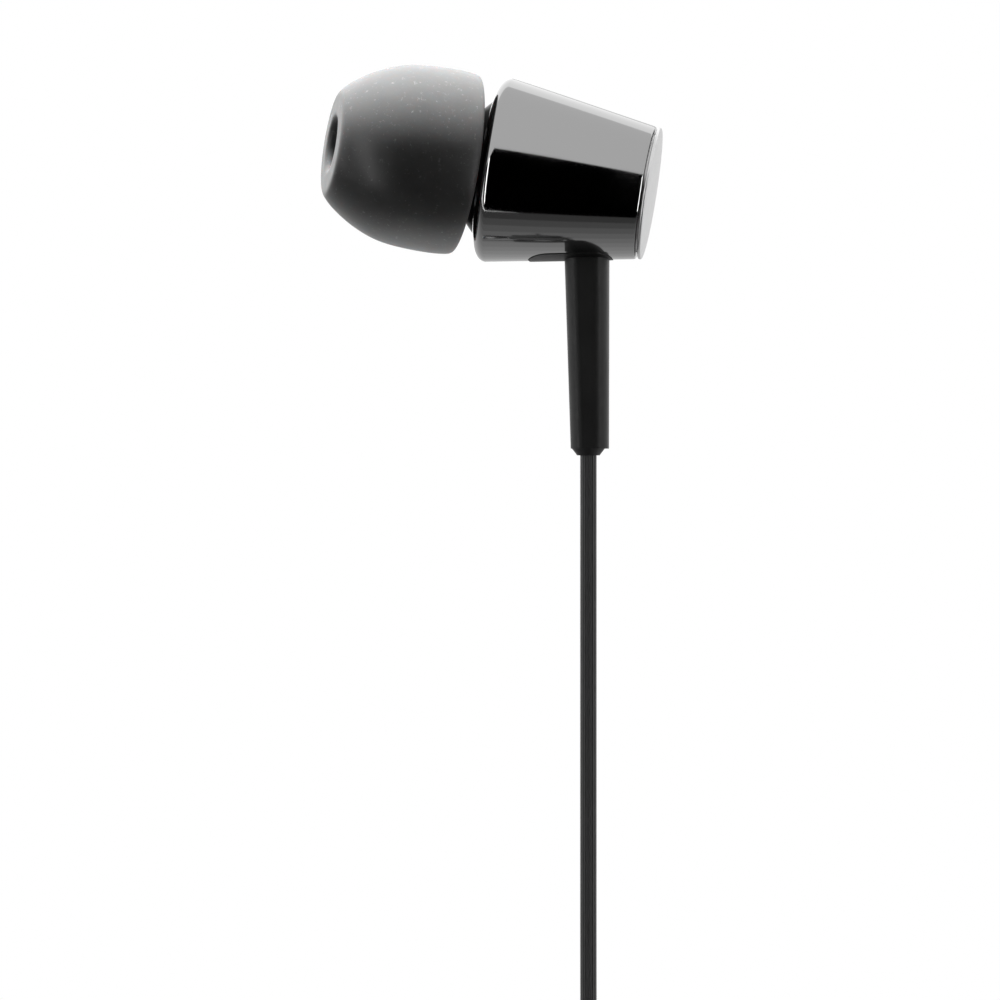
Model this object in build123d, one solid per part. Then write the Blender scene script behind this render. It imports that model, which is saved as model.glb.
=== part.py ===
"""Wired in-ear earphones: two earpieces and leads, a slider, a Y splitter, a trunk cord and a 3.5 mm plug.

Millimetres, +Z up. The left earpiece sits as it is worn, so its lead hangs straight down. The rest of the
cord is folded into a tied hank below it. The origin is the middle of the left ear tip, on the nozzle's axis.
Each earpiece is modelled in its own frame: X is the housing's axis, + to the rear, and x = 0 is its widest
section.
"""
from build123d import *
from math import atan, cos, pi, radians, sin, sqrt, tan
import os

# ---- driving dimensions ----
SHELL_FRONT_R = 6.2
SHELL_REAR_R = 4.46
SHELL_LENGTH = 9.92
SHELL_WALL = 0.45
SHOULDER_DEPTH = 0.95         # how far the rounded shoulder runs forward of the widest section
SHOULDER_STEP = 1.44          # how much it narrows there, to the shell's mouth
CAP_EDGE = 0.24               # the rear cap's rim thickness, before its dome
CAP_RISE = 0.18
FIT_GAP = 0.05                # between pieces that are glued or snapped together
SEAM_GAP = 0.13               # dark line between the shell and the rear cap

WORN_TILT = 9.0               # the housing's axis drops to the rear by this many degrees
NOZZLE_BEND = 15.0            # the nozzle turns forward from the housing's axis
ELBOW_X = -0.5
NOZZLE_R = 2.1
NOZZLE_WALL = 0.75
NOZZLE_END = 7.0              # along the nozzle's axis, from the elbow
LIP_STEP = 0.25               # how far the nozzle's lip stands proud
LIP_LENGTH = 1.2

TIP_LENGTH = 9.15
TIP_STANDOFF = 1.87           # the skirt's rim, from the elbow, when tip and shell are equally wide
TIP_R = 6.2
TIP_WALL = 0.45
TIP_SLEEVE_WALL = 0.7
TIP_FIT = 0.02                # the sleeve's clearance on the nozzle's lip

DRIVER_R = 4.6
DRIVER_FRONT = 0.65           # x of the driver's front face
DRIVER_DEPTH = 3.2
BASKET_FLANGE = 1.35          # how far the basket's wall stands out from the yoke
YOKE_WALL = 0.3
AIR_GAP = 0.15                # either side of the voice coil
COIL_WALL = 0.2
FRONT_HOUSING_END = 3.6
INNER_WALL = 0.5

CORD_D = 1.1                  # each ear lead
TRUNK_D = 1.7                 # the cord below the splitter
RELIEF_X = 5.94               # the lead's centre line, from the widest section
RELIEF_LENGTH = 13.0
RELIEF_TOP_W = 2.93
RELIEF_END_W = 2.5
RELIEF_DEPTH = 3.0
RELIEF_LEAN = 0.1             # its front face slopes, so its middle shifts by this much each way
ANCHOR_DROP = 3.25            # the strain relief's inner flange, below the housing's centre
KNOT_Z = -2.7                 # the knot that rests on it
BORE_GAP = 0.02               # round a cord in its bore
SADDLE_FRONT_X = 2.03
SADDLE_HALF_DEPTH = 2.1

LOOP_Z = 14.5                 # the hank's end loops are centred this far above and below its middle
HANK_WAIST = 3.6
LEAD_LOOP_R = 6.5
TRUNK_LOOP_R = 5.5
LEAD_START_Y = 3.95           # the leads' first turns, either side of the trunk's turns
LEAD_END_Y = 7.25

PLUG_R = 1.75
PLUG_LENGTH = 14.0
GRIP_R = 2.9
GRIP_LENGTH = 11.0

half_cone = atan((SHELL_FRONT_R - SHELL_REAR_R) / SHELL_LENGTH)
mouth_r = SHELL_FRONT_R - SHOULDER_STEP
lip_r = NOZZLE_R + LIP_STEP
nozzle_bore_r = NOZZLE_R - NOZZLE_WALL
tip_port_r = nozzle_bore_r + 0.3
tip_start = TIP_STANDOFF + SHELL_FRONT_R - TIP_R


def shell_outer(x):
    """Radius of the shell's outside at x."""
    return SHELL_FRONT_R - x * tan(half_cone)


def shell_inner(x):
    """Radius of the shell's inside at x."""
    return shell_outer(x) - SHELL_WALL / cos(half_cone)


def turned(points):
    """A closed solid of revolution about X, from (x, radius) points joined by straight lines."""
    return revolve(make_face(Polyline(*[(x, 0, r) for x, r in points], close=True)), Axis.X)


def ring(x0, x1, outer, inner):
    """A plain ring or tube along X."""
    return turned([(x0, inner), (x1, inner), (x1, outer), (x0, outer)])


def disc(x0, x1, radius):
    """A plain disc along X."""
    return turned([(x0, 0), (x1, 0), (x1, radius), (x0, radius)])


# ---- one earpiece ----
def nozzle_frame(hand):
    """From nozzle coordinates, where the nozzle points along -X from the elbow, to the earpiece's frame."""
    return Location((ELBOW_X, 0, 0), (0, 0, hand * NOZZLE_BEND))


def relief_frame():
    """From upright coordinates about the widest section's centre to the earpiece's tilted frame."""
    return Location((0, 0, 0), (0, -WORN_TILT, 0))


def underside_z():
    """Height of the shell's underside where the lead leaves, in upright coordinates."""
    return -shell_outer(RELIEF_X) * cos(radians(WORN_TILT)) - RELIEF_X * sin(radians(WORN_TILT))


def relief_exit_z():
    """Height of the strain relief's lower end, in upright coordinates."""
    return underside_z() - RELIEF_LENGTH


def saddle_prism(gap):
    """The upright slot shape on the underside, where the strain relief's saddle sits."""
    front = SADDLE_FRONT_X - gap
    rear = RELIEF_X + RELIEF_TOP_W / 2 + 0.15 + gap
    half_depth = SADDLE_HALF_DEPTH + gap
    outline = Pos((front + rear) / 2, 0) * RectangleRounded(rear - front, 2 * half_depth, 1.3 + gap)
    height = SHELL_FRONT_R + 1.0
    return relief_frame() * Pos(0, 0, -height) * extrude(outline, height - 2.0)


def stem_prism(gap, foot, top):
    """The strain relief's stem, up into the housing, or the passage for it with a gap."""
    outline = RectangleRounded(RELIEF_TOP_W + 2 * gap, RELIEF_DEPTH + 2 * gap, 0.9 + gap)
    low = underside_z() + foot
    return relief_frame() * Pos(RELIEF_X - RELIEF_LEAN, 0, low) * extrude(outline, top - low)


def shell_band(outside, inside, rear=SHELL_LENGTH, front=0.0):
    """A cone-shaped layer between two offsets from the shell's outer and inner surfaces."""
    return turned([
        (front, shell_inner(front) + inside), (rear, shell_inner(rear) + inside),
        (rear, shell_outer(rear) + outside), (front, shell_outer(front) + outside),
    ])


def metal_shell():
    """Drawn metal sleeve: a cone with a rounded front shoulder, slotted underneath."""
    crown = (-SHOULDER_DEPTH * 0.55, 0, SHELL_FRONT_R - SHOULDER_STEP * 0.29)
    shoulder = Edge.make_three_point_arc((-SHOULDER_DEPTH, 0, mouth_r), crown, (0, 0, SHELL_FRONT_R))
    path = Polyline(
        (0, 0, SHELL_FRONT_R), (SHELL_LENGTH, 0, SHELL_REAR_R), (SHELL_LENGTH, 0, shell_inner(SHELL_LENGTH)),
        (0, 0, shell_inner(0)), (-SHOULDER_DEPTH * 0.5, 0, mouth_r + 0.5), (-SHOULDER_DEPTH, 0, mouth_r - 0.1),
        (-SHOULDER_DEPTH, 0, mouth_r))
    sleeve = revolve(make_face([shoulder, *path.edges()]), Axis.X)
    return sleeve - saddle_prism(FIT_GAP)


def front_housing(hand):
    """Black moulded front: fills the shell's mouth, seats the driver and carries the angled, lipped nozzle."""
    seat_r = DRIVER_R + FIT_GAP
    face_x = -SHOULDER_DEPTH - 0.62
    body = turned([
        (face_x, 0), (face_x, mouth_r - 0.8), (-SHOULDER_DEPTH, mouth_r - 0.14),
        (-SHOULDER_DEPTH * 0.5, mouth_r + 0.42), (0, shell_inner(0) - 0.1),
        (0.2, shell_inner(0.2) - FIT_GAP), (FRONT_HOUSING_END, shell_inner(FRONT_HOUSING_END) - FIT_GAP),
        (FRONT_HOUSING_END, seat_r), (DRIVER_FRONT - FIT_GAP, seat_r), (DRIVER_FRONT - FIT_GAP, seat_r - 0.8),
        (0.0, nozzle_bore_r + 1.2), (0.0, 0),
    ])
    lip_x = -NOZZLE_END + LIP_LENGTH
    nozzle = turned([
        (0.3, 0), (0.3, NOZZLE_R + 0.2), (face_x, NOZZLE_R + 0.8), (face_x - 0.5, NOZZLE_R), (lip_x, NOZZLE_R),
        (lip_x, lip_r), (-NOZZLE_END, NOZZLE_R), (-NOZZLE_END, 0),
    ])
    openings = disc(-NOZZLE_END - 1, 1.2, nozzle_bore_r)
    openings += disc(-NOZZLE_END - 1, -NOZZLE_END + 0.3, tip_port_r + 0.1)
    return body + nozzle_frame(hand) * nozzle - nozzle_frame(hand) * openings


def nozzle_mesh(hand):
    """Steel screen as a thin drilled disc in the nozzle's mouth."""
    screen = disc(-NOZZLE_END + 0.05, -NOZZLE_END + 0.2, tip_port_r + 0.08)
    hole = Rot(0, 90, 0) * Cylinder(0.16, 2)
    for row in range(-2, 3):
        for column in range(-2, 3):
            if row * row + column * column <= 5:
                screen -= Pos(-NOZZLE_END, row * 0.55, column * 0.55) * hole
    return nozzle_frame(hand) * screen


def nozzle_damper(hand):
    """Foam plug that damps the nozzle's bore."""
    return nozzle_frame(hand) * disc(-4.5, -3.3, nozzle_bore_r - BORE_GAP)


def ear_tip(hand):
    """Silicone tip: a dome that folds back as a thin skirt round the sleeve that grips the nozzle."""
    face_x = -(tip_start + TIP_LENGTH)
    rim_x = -tip_start
    bore_r = lip_r + TIP_FIT
    sleeve_r = bore_r + TIP_SLEEVE_WALL
    dome = Spline((face_x + 0.12, 0, TIP_R - 2.65), (face_x + 1.1, 0, TIP_R - 1.73),
                  (face_x + 2.35, 0, TIP_R - 0.92), (face_x + 4.6, 0, TIP_R - 0.13), (face_x + 6.9, 0, TIP_R),
                  (rim_x, 0, TIP_R - 0.14), tangents=((0.35, 0, 1), (1, 0, -0.1)))
    hollow = Spline((rim_x, 0, TIP_R - 0.14 - TIP_WALL), (face_x + 6.9, 0, TIP_R - TIP_WALL),
                    (face_x + 4.6, 0, TIP_R - 0.13 - TIP_WALL), (face_x + 2.7, 0, TIP_R - 1.25),
                    (face_x + 1.7, 0, TIP_R - 2.2), (face_x + 1.6, 0, sleeve_r + 0.3))
    line = Polyline(
        (face_x + 1.6, 0, sleeve_r + 0.3), (face_x + 1.9, 0, sleeve_r), (rim_x - 0.75, 0, sleeve_r),
        (rim_x - 0.75, 0, bore_r), (-NOZZLE_END - 0.05, 0, bore_r), (-NOZZLE_END - 0.05, 0, tip_port_r),
        (face_x + 0.25, 0, tip_port_r), (face_x, 0, tip_port_r + 0.3), (face_x, 0, TIP_R - 2.85),
        (face_x + 0.12, 0, TIP_R - 2.65))
    profile = make_face([dome, Edge.make_line(dome @ 1, hollow @ 0), hollow, *line.edges()])
    return nozzle_frame(hand) * revolve(profile, Axis.X)


def driver_parts():
    """Moving-coil driver, front to back, as its separate pieces."""
    front = DRIVER_FRONT
    back = front + DRIVER_DEPTH
    yoke_r = DRIVER_R - BASKET_FLANGE
    coil_r = yoke_r - YOKE_WALL - AIR_GAP
    plate_r = coil_r - COIL_WALL - AIR_GAP
    rim_r = DRIVER_R - 0.5
    roll_r = (rim_r + coil_r) / 2
    cover = disc(front, front + 0.2, DRIVER_R)
    for angle in range(0, 360, 60):
        cover -= Rot(angle, 0, 0) * Pos(front, 0, DRIVER_R / 2 + 0.1) * Rot(0, 90, 0) * Cylinder(0.45, 2)
    film = [(0.55, rim_r), (0.4, roll_r), (0.5, coil_r - 0.05), (0.32, coil_r * 0.6), (0.25, 0)]
    diaphragm = turned([(front + 0.55, DRIVER_R - 0.1), *[(front + x, r) for x, r in film],
                        *[(front + x + 0.06, r) for x, r in reversed(film)], (front + 0.61, DRIVER_R - 0.1)])
    basket = turned([
        (front + 0.63, rim_r + 0.1), (front + 0.63, DRIVER_R), (front + 2.5, DRIVER_R), (front + 2.5, yoke_r + 0.03),
        (front + 2.1, yoke_r + 0.03), (front + 2.1, rim_r + 0.1),
    ])
    vent_r = (yoke_r + DRIVER_R) / 2 - 0.2
    for angle in range(30, 360, 90):
        basket -= Rot(angle, 0, 0) * Pos(front + 2.3, 0, vent_r) * Rot(0, 90, 0) * Cylinder(0.25, 1)
    yoke = turned([
        (front + 1.1, yoke_r), (front + 2.9, yoke_r), (front + 2.9, 0), (front + 2.4, 0),
        (front + 2.4, yoke_r - YOKE_WALL), (front + 1.1, yoke_r - YOKE_WALL),
    ])
    board = disc(back - 0.28, back - 0.05, DRIVER_R - 1.6) & Pos(back, 0, -0.8) * Box(2, 2 * DRIVER_R, 4)
    joints = Pos(back, -1.4, -1.4) * Sphere(0.3) + Pos(back, 1.4, -1.4) * Sphere(0.3)
    return {
        "driver_cover": cover,
        "diaphragm_ring": ring(front + 0.22, front + 0.53, DRIVER_R - 0.05, rim_r + 0.05),
        "diaphragm": diaphragm,
        "voice_coil": ring(front + 0.63, front + 1.9, coil_r, coil_r - COIL_WALL),
        "driver_basket": basket,
        "top_plate": disc(front + 1.1, front + 1.45, plate_r),
        "magnet": disc(front + 1.47, front + 2.38, plate_r - 0.1),
        "yoke": yoke,
        "vent_felt": ring(front + 2.53, front + 2.7, DRIVER_R - 0.2, yoke_r + 0.1),
        "terminal_board": board,
        "solder_joints": joints - disc(back - 1, back - 0.05, DRIVER_R),
    }


def rear_housing():
    """Black moulded rear cup inside the shell, bored underneath for the strain relief's stem."""
    front = DRIVER_FRONT + DRIVER_DEPTH + 0.1
    rear = SHELL_LENGTH - 0.5
    cup = turned([
        (front, shell_inner(front) - FIT_GAP), (rear, shell_inner(rear) - FIT_GAP), (rear, 0), (rear - 0.5, 0),
        (rear - 0.5, shell_inner(rear - 0.5) - FIT_GAP - INNER_WALL),
        (front, shell_inner(front) - FIT_GAP - INNER_WALL),
    ])
    return cup - stem_prism(FIT_GAP, 0.3, -ANCHOR_DROP)


def rear_cap():
    """Turned metal end cap: a domed face over a short spigot in the shell's rear mouth."""
    seat = SHELL_LENGTH + SEAM_GAP
    face_r = SHELL_REAR_R - 0.03
    edge_x = seat + CAP_EDGE
    rise = CAP_RISE
    dome_r = (face_r ** 2 + rise ** 2) / (2 * rise)
    half_way = (edge_x + rise - dome_r + sqrt(dome_r ** 2 - face_r ** 2 / 4), 0, face_r / 2)
    dome = Edge.make_three_point_arc((edge_x, 0, face_r), half_way, (edge_x + rise, 0, 0))
    spigot_x = SHELL_LENGTH - 0.45
    spigot_r = shell_inner(SHELL_LENGTH) - FIT_GAP
    sides = Polyline((edge_x + rise, 0, 0), (spigot_x, 0, 0), (spigot_x, 0, spigot_r), (seat, 0, spigot_r),
                     (seat, 0, face_r - 0.08), (seat + 0.08, 0, face_r), (edge_x, 0, face_r))
    return revolve(make_face([dome, *sides.edges()]), Axis.X)


def strain_relief():
    """Soft moulded strain relief: saddle in the shell's slot, stem and anchor inside, tapered strip below."""
    saddle = saddle_prism(0) & shell_band(0.05, 0.06)
    anchor = Pos(RELIEF_X, 0, -ANCHOR_DROP - 0.35) * Box(3.6, RELIEF_DEPTH + 1.0, 0.7)
    strip_top = Plane.XY.offset(underside_z() + 0.72) * Pos(RELIEF_X - RELIEF_LEAN, 0)
    strip_foot = Plane.XY.offset(relief_exit_z() + 0.45) * Pos(RELIEF_X + RELIEF_LEAN, 0)
    strip = loft([strip_top * RectangleRounded(RELIEF_TOP_W, RELIEF_DEPTH, 0.9),
                  strip_foot * RectangleRounded(RELIEF_END_W, RELIEF_END_W, 0.85)])
    lip_low = Plane.XY.offset(relief_exit_z()) * Pos(RELIEF_X, 0) * Circle(CORD_D / 2 + 0.2)
    lip_high = Plane.XY.offset(relief_exit_z() + 0.45) * Pos(RELIEF_X, 0) * Circle(CORD_D / 2 + 0.55)
    hole = Pos(RELIEF_X, 0, -12) * Cylinder(CORD_D / 2 + BORE_GAP, 24)
    upright = relief_frame() * (anchor + strip + loft([lip_low, lip_high]))
    return saddle + stem_prism(-0.15, 0.1, -ANCHOR_DROP - 0.3) + upright - relief_frame() * hole


def cable_knot():
    """The knot in the lead that stops it pulling through, as a plain ring."""
    return relief_frame() * Pos(RELIEF_X, 0, KNOT_Z) * Torus(CORD_D / 2 + 0.42 + BORE_GAP, 0.42)


def lead_wires():
    """Two enamelled wires from the lead's end to the driver's board."""
    board_x = DRIVER_FRONT + DRIVER_DEPTH + 0.35
    wires = []
    for side in (-1, 1):
        start = (relief_frame() * Pos(RELIEF_X, side * 0.25, KNOT_Z + 0.6)).position
        path = FilletPolyline(tuple(start), (start.X - 0.6, side * 0.7, start.Z + 0.9),
                              (board_x, side * 1.4, -1.35), radius=0.4)
        wires.append(sweep((path ^ 0) * Circle(0.12), path=path))
    return wires[0] + wires[1]


def earpiece(hand):
    """Every piece of one earpiece, by name, in its own frame. hand is 1 for the left and -1 for the right."""
    return {
        "ear_tip": ear_tip(hand),
        "front_housing": front_housing(hand),
        "nozzle_mesh": nozzle_mesh(hand),
        "nozzle_damper": nozzle_damper(hand),
        **driver_parts(),
        "rear_housing": rear_housing(),
        "metal_shell": metal_shell(),
        "rear_cap": rear_cap(),
        "strain_relief": strain_relief(),
        "cable_knot": cable_knot(),
        "lead_wires": lead_wires(),
    }


# ---- places ----
def left_place():
    """Puts the middle of the left ear tip on the origin, with the housing tilted as worn."""
    tilt = Location((0, 0, 0), (0, WORN_TILT, 0))
    middle = tilt * nozzle_frame(1) * Pos(-(tip_start + TIP_LENGTH / 2), 0, 0)
    return Location(-middle.position) * tilt


left_centre = left_place().position
LEAD_X = left_centre.X + RELIEF_X
LEAD_Y = left_centre.Y
left_exit = Vector(LEAD_X, LEAD_Y, left_centre.Z + relief_exit_z())
view_floor_z = left_centre.Z - 56.0
hank_centre = Vector(LEAD_X - LEAD_LOOP_R, LEAD_Y + LEAD_START_Y, view_floor_z - 28.0)
HANGER_X = -16.5              # the right lead hangs this far from the hank's middle
HANGER_DROP = -17.0           # the right strain relief's mouth, from the hank's middle
right_exit = hank_centre + Vector(HANGER_X, LEAD_START_Y, HANGER_DROP)


def right_place():
    """The right earpiece hangs upside down by its own lead, with its nozzle pointing away from the hank."""
    flipped = Location((0, 0, 0), (180, 0, 0)) * Location((0, 0, 0), (0, WORN_TILT, 0))
    mouth = flipped * relief_frame() * Pos(RELIEF_X, 0, relief_exit_z())
    return Location(right_exit - mouth.position) * flipped


# ---- cords ----
def tube(points, diameter):
    """A round cord along straight runs joined by the largest tangent arcs that they allow."""
    points = [Vector(*p) for p in points]
    radii = []
    for before, here, after in zip(points, points[1:], points[2:]):
        turn = (here - before).get_angle(after - here)
        shorter = min((here - before).length, (after - here).length)
        radii.append(0.45 * shorter / tan(radians(turn) / 2))
    print("cord radii, in diameters:", [round(r / diameter, 1) for r in radii])
    path = FilletPolyline(*points, radius=radii)
    cord = sweep((path ^ 0) * Circle(diameter / 2), path=path)
    print("volume over section times length:", round(cord.volume / (pi * diameter ** 2 / 4 * path.length), 4))
    return cord


def from_hank(points):
    """Points given about the hank's middle, in the model's frame."""
    return [tuple(hank_centre + Vector(*p)) for p in points]


splitter_top = hank_centre + Vector(0, 0, -50)
LEAD_GAP = 1.4                # between the two leads' centre lines where they run side by side
SPLITTER_LENGTH = 12.0
SPLITTER_SOCKET = 3.0         # how deep each cord goes into the splitter
SLIDER_LENGTH = 6.0
SLIDER_FIT = 0.06             # the slider's clearance on each lead
splitter_foot = splitter_top - Vector(0, 0, SPLITTER_LENGTH)

PLUG_X = -10.2
PLUG_TOP_Z = -46.0
RIGHT_LEAD = [(HANGER_X, 3.95, HANGER_DROP), (-16.5, 3.95, -8), (-16.7, 3.95, 2), (-17, 3.95, 11),
              (-16.5, 3.95, 19.1), (-13.6, 3.95, 22), (-9.4, 3.95, 22), (-6.5, 3.95, 19.1), (-6.5, 3.95, 15.5)]
LEFT_TAIL = [(6.5, -7.25, -16), (6.5, -7.25, -19.5), (4.9, -5.5, -24.5), (2, -2, -29.5), (0.7, 0, -35.5),
             (0.7, 0, -39)]
RIGHT_TAIL = [(-x, -y, z) for x, y, z in LEFT_TAIL]
TRUNK_START = [(0, 0, -66), (0, 0.1, -71.5), (3.6, 0.5, -75.1), (8.7, 0.9, -75.1), (12.3, 1.3, -71.5),
               (12.6, 1.9, -62.5), (11.9, 2.3, -51), (10, 2.5, -38.5), (7.6, 2.6, -27), (5.6, 2.55, -16.5)]
PLUG_LEAD = [(-7.2, 0.85, -16), (-7.3, 0.85, -21), (-8, 0.7, -28), (-9.3, 0.4, -35), (-10.2, 0, -41),
             (-10.2, 0, -46)]


def upright_run(low, high, diameter):
    """One upright stretch of a cord."""
    return Pos(low.X, low.Y, (low.Z + high.Z) / 2) * Cylinder(diameter / 2, high.Z - low.Z)


def cord_hank():
    """Outer shape of the folded cord: two round end loops drawn together at a tied waist."""
    outer_r = TRUNK_LOOP_R + 1.5 * TRUNK_D
    half_depth = LEAD_END_Y + CORD_D / 2
    loops = Pos(0, LOOP_Z) * Circle(outer_r) + Pos(0, -LOOP_Z) * Circle(outer_r)
    neck = Polygon((-outer_r * 0.72, LOOP_Z - outer_r * 0.7), (-HANK_WAIST, 1.8), (-HANK_WAIST, -1.8),
                   (-outer_r * 0.72, -LOOP_Z + outer_r * 0.7), (outer_r * 0.72, -LOOP_Z + outer_r * 0.7),
                   (HANK_WAIST, -1.8), (HANK_WAIST, 1.8), (outer_r * 0.72, LOOP_Z - outer_r * 0.7), align=None)
    eye = TRUNK_LOOP_R - TRUNK_D / 2 - 0.1
    outline = loops + neck - Pos(0, LOOP_Z) * Circle(eye) - Pos(0, -LOOP_Z) * Circle(eye)
    bundle = extrude(Plane.XZ * outline, half_depth, both=True)
    return Pos(hank_centre) * bundle


def hank_tie():
    """Flat tie strap round the hank's waist, with its two ends twisted together in front."""
    depth = LEAD_END_Y + CORD_D / 2 + 0.1
    width = HANK_WAIST + 0.1
    band = RectangleRounded(2 * width + 1.4, 2 * depth + 1.4, 1.6)
    band -= RectangleRounded(2 * width, 2 * depth, 0.12)
    tail = Pos(0, -depth - 0.7 - 2.2, 0) * Rot(90, 0, 0) * Cylinder(0.55, 4.6)
    return Pos(hank_centre) * (extrude(band, 1.4, both=True) + tail)


def cord_slider():
    """Oval bead that slides up the two leads to gather them."""
    bead = extrude(RectangleRounded(5.2, 3.4, 1.65), SLIDER_LENGTH)
    bead = fillet(bead.faces().filter_by(Axis.Z).edges(), 0.5)
    bore = Cylinder(CORD_D / 2 + SLIDER_FIT, 2 * SLIDER_LENGTH + 2)
    for side in (-1, 1):
        bead -= Pos(side * LEAD_GAP / 2, 0, 0) * bore
    return Pos(splitter_top + Vector(0, 0, 0.1)) * bead


def y_splitter():
    """Moulded joint where the two leads become one trunk cord, tapering to the trunk."""
    upper = RectangleRounded(4.4, 3.1, 1.5)
    body = loft([Circle(TRUNK_D / 2 + 0.35), Plane.XY.offset(5) * upper])
    body += Pos(0, 0, 5) * extrude(upper, SPLITTER_LENGTH - 5)
    socket = Cylinder(CORD_D / 2 + BORE_GAP, 2 * SPLITTER_SOCKET)
    for side in (-1, 1):
        body -= Pos(side * LEAD_GAP / 2, 0, SPLITTER_LENGTH) * socket
    body -= Cylinder(TRUNK_D / 2 + BORE_GAP, 2 * SPLITTER_SOCKET)
    return Pos(splitter_foot) * body


def plug_parts():
    """Straight 3.5 mm stereo plug: moulded grip, contacts and the insulators between them."""
    grip = Pos(0, 0, -4) * extrude(Circle(GRIP_R), 4, taper=18)
    grip += Pos(0, 0, -GRIP_LENGTH) * extrude(Circle(GRIP_R), GRIP_LENGTH - 4)
    grip -= Cylinder(TRUNK_D / 2 + BORE_GAP, 2 * SPLITTER_SOCKET)
    grip -= Pos(0, 0, -GRIP_LENGTH) * Cylinder(1.42, 4)
    core_r = 0.7
    parts = {"plug_grip": grip}
    bands = [("plug_sleeve", 0.0, 7.2), ("plug_insulator_rear", 7.2, 7.8), ("plug_ring", 7.8, 10.2),
             ("plug_insulator_front", 10.2, 10.8)]
    for name, start, end in bands:
        band = Cylinder(PLUG_R, end - start) - Cylinder(core_r + BORE_GAP, end)
        parts[name] = Pos(0, 0, -GRIP_LENGTH - (start + end) / 2) * band
    collar = Pos(0, 0, -GRIP_LENGTH + 0.95) * (Cylinder(1.4, 1.9) - Cylinder(core_r + BORE_GAP, 4))
    parts["plug_sleeve"] += collar
    nose = revolve(make_face(Polyline(
        (0, 0, 3.2), (PLUG_R, 0, 3.2), (PLUG_R, 0, 2.9), (1.2, 0, 2.1), (1.2, 0, 1.7), (PLUG_R - 0.1, 0, 1.0),
        (0.8, 0, 0), (0, 0, 0), close=True)), Axis.Z)
    rod = Pos(0, 0, 3.2 + 6) * Cylinder(core_r, 12)
    parts["plug_tip"] = Pos(0, 0, -GRIP_LENGTH - PLUG_LENGTH) * (nose + rod)
    at = hank_centre + Vector(PLUG_X, 0, PLUG_TOP_Z)
    return {name: Pos(at) * shape for name, shape in parts.items()}


# ---- assembly ----
def save(name, shape):
    shape.label = name
    export_step(shape, f"parts/{name}.step")


os.makedirs("parts", exist_ok=True)
for name, shape in earpiece(1).items():
    save(f"left_{name}", left_place() * shape)
for name, shape in earpiece(-1).items():
    save(f"right_{name}", right_place() * shape)

lead_inside = Vector(0, 0, RELIEF_LENGTH - underside_z() + KNOT_Z + 0.5)
left_foot = Vector(LEAD_X, LEAD_Y, hank_centre.Z + 17.0)
save("left_lead", upright_run(left_foot, left_exit + lead_inside, CORD_D))
save("right_lead_end", upright_run(right_exit - lead_inside, right_exit, CORD_D))
save("right_lead", tube(from_hank(RIGHT_LEAD), CORD_D))
for name, points in (("left_lead_tail", LEFT_TAIL), ("right_lead_tail", RIGHT_TAIL)):
    route = from_hank(points)
    foot = Vector(route[-1][0], route[-1][1], splitter_top.Z - SPLITTER_SOCKET + 0.1)
    save(name, tube(route, CORD_D) + upright_run(foot, Vector(*route[-1]), CORD_D))
trunk_route = from_hank(TRUNK_START)
trunk_top = splitter_foot + Vector(0, 0, SPLITTER_SOCKET - 0.1)
save("trunk_cord", tube(trunk_route, TRUNK_D) + upright_run(Vector(*trunk_route[0]), trunk_top, TRUNK_D))
plug_route = from_hank(PLUG_LEAD)
grip_top = Vector(*plug_route[-1])
save("plug_lead", tube(plug_route, TRUNK_D)
     + upright_run(grip_top - Vector(0, 0, SPLITTER_SOCKET - 0.1), grip_top, TRUNK_D))
save("cord_hank", cord_hank())
save("hank_tie", hank_tie())
save("cord_slider", cord_slider())
save("y_splitter", y_splitter())
for name, shape in plug_parts().items():
    save(name, shape)
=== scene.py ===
import bmesh
import bpy
from math import cos, pi, radians, sin
from mathutils import Matrix, Vector


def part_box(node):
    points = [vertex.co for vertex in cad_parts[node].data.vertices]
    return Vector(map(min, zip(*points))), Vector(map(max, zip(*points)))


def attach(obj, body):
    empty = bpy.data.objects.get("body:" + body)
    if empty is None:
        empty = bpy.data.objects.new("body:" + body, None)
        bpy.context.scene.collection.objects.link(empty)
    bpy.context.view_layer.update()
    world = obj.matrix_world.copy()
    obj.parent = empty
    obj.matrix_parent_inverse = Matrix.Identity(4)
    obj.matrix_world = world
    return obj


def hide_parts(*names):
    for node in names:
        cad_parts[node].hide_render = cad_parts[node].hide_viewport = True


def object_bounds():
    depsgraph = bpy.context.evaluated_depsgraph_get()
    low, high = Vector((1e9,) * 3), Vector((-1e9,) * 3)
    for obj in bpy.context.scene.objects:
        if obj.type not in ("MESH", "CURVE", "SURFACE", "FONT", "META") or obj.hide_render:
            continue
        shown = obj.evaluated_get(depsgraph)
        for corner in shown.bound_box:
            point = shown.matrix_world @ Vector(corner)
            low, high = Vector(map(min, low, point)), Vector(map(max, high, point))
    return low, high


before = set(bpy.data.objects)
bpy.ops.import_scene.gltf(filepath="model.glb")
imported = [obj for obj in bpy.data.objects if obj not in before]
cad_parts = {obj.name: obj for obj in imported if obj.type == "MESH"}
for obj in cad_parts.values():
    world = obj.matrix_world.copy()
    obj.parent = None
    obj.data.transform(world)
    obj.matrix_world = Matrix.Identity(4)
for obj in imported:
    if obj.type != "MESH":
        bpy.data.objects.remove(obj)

cad_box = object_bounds()

# ---- Silicone ear tips ----
# One moulding of grey, slightly clear silicone: a thin dome that folds back as a skirt round a sleeve.
# It is pushed over the nozzle's lip, so the sound port in front stays open. The flash line is polished away.

MM = 0.001
WORN_TILT = radians(9)
NOZZLE_BEND = radians(15)
ELBOW_X = -0.5
TIP_MIDDLE = 6.445            # from the elbow, along the nozzle


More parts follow.
